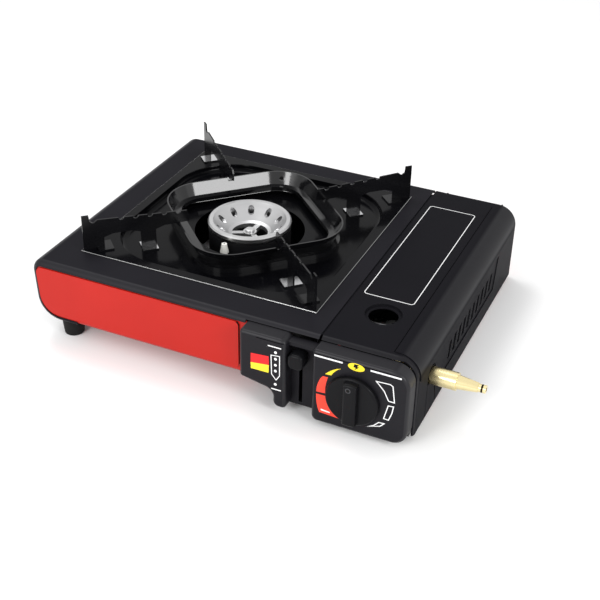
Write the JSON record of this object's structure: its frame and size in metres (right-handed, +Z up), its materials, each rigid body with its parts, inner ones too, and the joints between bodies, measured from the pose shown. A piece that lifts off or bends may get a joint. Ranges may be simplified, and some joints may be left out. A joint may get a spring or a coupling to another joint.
{
  "type": "single burner gas stove",
  "caption": "Portable tabletop gas stove: red pan body with black cover, enamelled drip tray and pan supports, cast burner, cartridge bay under a hinged lid, knob, lock lever, hose tail.",
  "frame": {"origin": "middle of the body's footprint, on the surface that the feet stand on", "axes": "+X to the right seen from the front, towards the hose tail; +Y to the rear; +Z up"},
  "size_m": [0.3882, 0.2976, 0.108],
  "materials": {
    "red_paint": "gloss",
    "black_paint": "satin",
    "black_enamel": "gloss enamel",
    "aluminium": "cast, satin",
    "burner_black": "coated",
    "steel": "zinc plated",
    "valve_alloy": "die cast",
    "brass": "turned",
    "panel_plastic": "satin",
    "knob_plastic": "satin",
    "ceramic": "glazed ceramic",
    "foot_rubber": "matt",
    "lead_rubber": "satin"
  },
  "bodies": {
    "chassis": {"air_shutter": "steel", "base_pan": "red_paint", "burner_base": "burner_black", "burner_bracket": "steel", "burner_head": "aluminium", "burner_nut": "steel", "burner_screw": "steel", "control_panel": "panel_plastic", "electrode_bracket": "steel", "electrode_ceramic": "ceramic", "electrode_pin": "steel", "feet_left": "foot_rubber", "feet_right": "foot_rubber", "foot_screws": "steel", "heat_shield": "black_paint", "hinge_brackets": "steel", "hinge_pins": "steel", "hose_nozzle": "brass", "igniter_lead": "lead_rubber", "injector_jet": "brass", "lever_bracket": "steel", "lever_pin": "steel", "mixing_tube": "steel", "nozzle_nut": "brass", "panel_screws": "steel", "piezo_igniter": "knob_plastic", "regulator": "valve_alloy", "tail_plate": "black_paint", "top_cover": "black_paint", "valve_body": "valve_alloy", "valve_bracket": "steel"},
    "pan_support": {"drip_tray": "black_enamel", "pan_ring": "black_enamel", "pan_fin_front_left": "black_enamel", "pan_fin_front_right": "black_enamel", "pan_fin_rear_left": "black_enamel", "pan_fin_rear_right": "black_enamel"},
    "lid": {"cartridge_lid": "black_paint"},
    "knob": {"control_knob": "knob_plastic", "valve_spindle": "brass"},
    "lever": {"lock_lever": "steel", "lever_knob": "knob_plastic"},
    "fork": {"cartridge_fork": "steel"}
  },
  "joints": [
    {"name": "lid_hinge", "type": "hinge", "parent": "chassis", "child": "lid", "pos_m": [0.133, 0.131, 0.068], "axis": [-1, 0, 0], "range_deg": [0, 95]},
    {"name": "knob_turn", "type": "hinge", "parent": "chassis", "child": "knob", "pos_m": [0.1273, -0.15, 0.0364], "axis": [0, -1, 0], "range_deg": [0, 125]},
    {"name": "lever_pivot", "type": "hinge", "parent": "chassis", "child": "lever", "pos_m": [0.0784, -0.075, 0.0275], "axis": [1, 0, 0], "range_deg": [0, 28.3]},
    {"name": "fork_slide", "type": "slide", "parent": "chassis", "child": "fork", "axis": [0, -1, 0], "range_m": [0, 0.005]},
    {"name": "pan_lift", "type": "slide", "parent": "chassis", "child": "pan_support", "axis": [0, 0, 1], "range_m": [0, 0.06]}
  ],
  "couplings": [
    {"joint": "fork_slide", "follows": "lever_pivot", "m_per_rad": 0.0101}
  ]
}
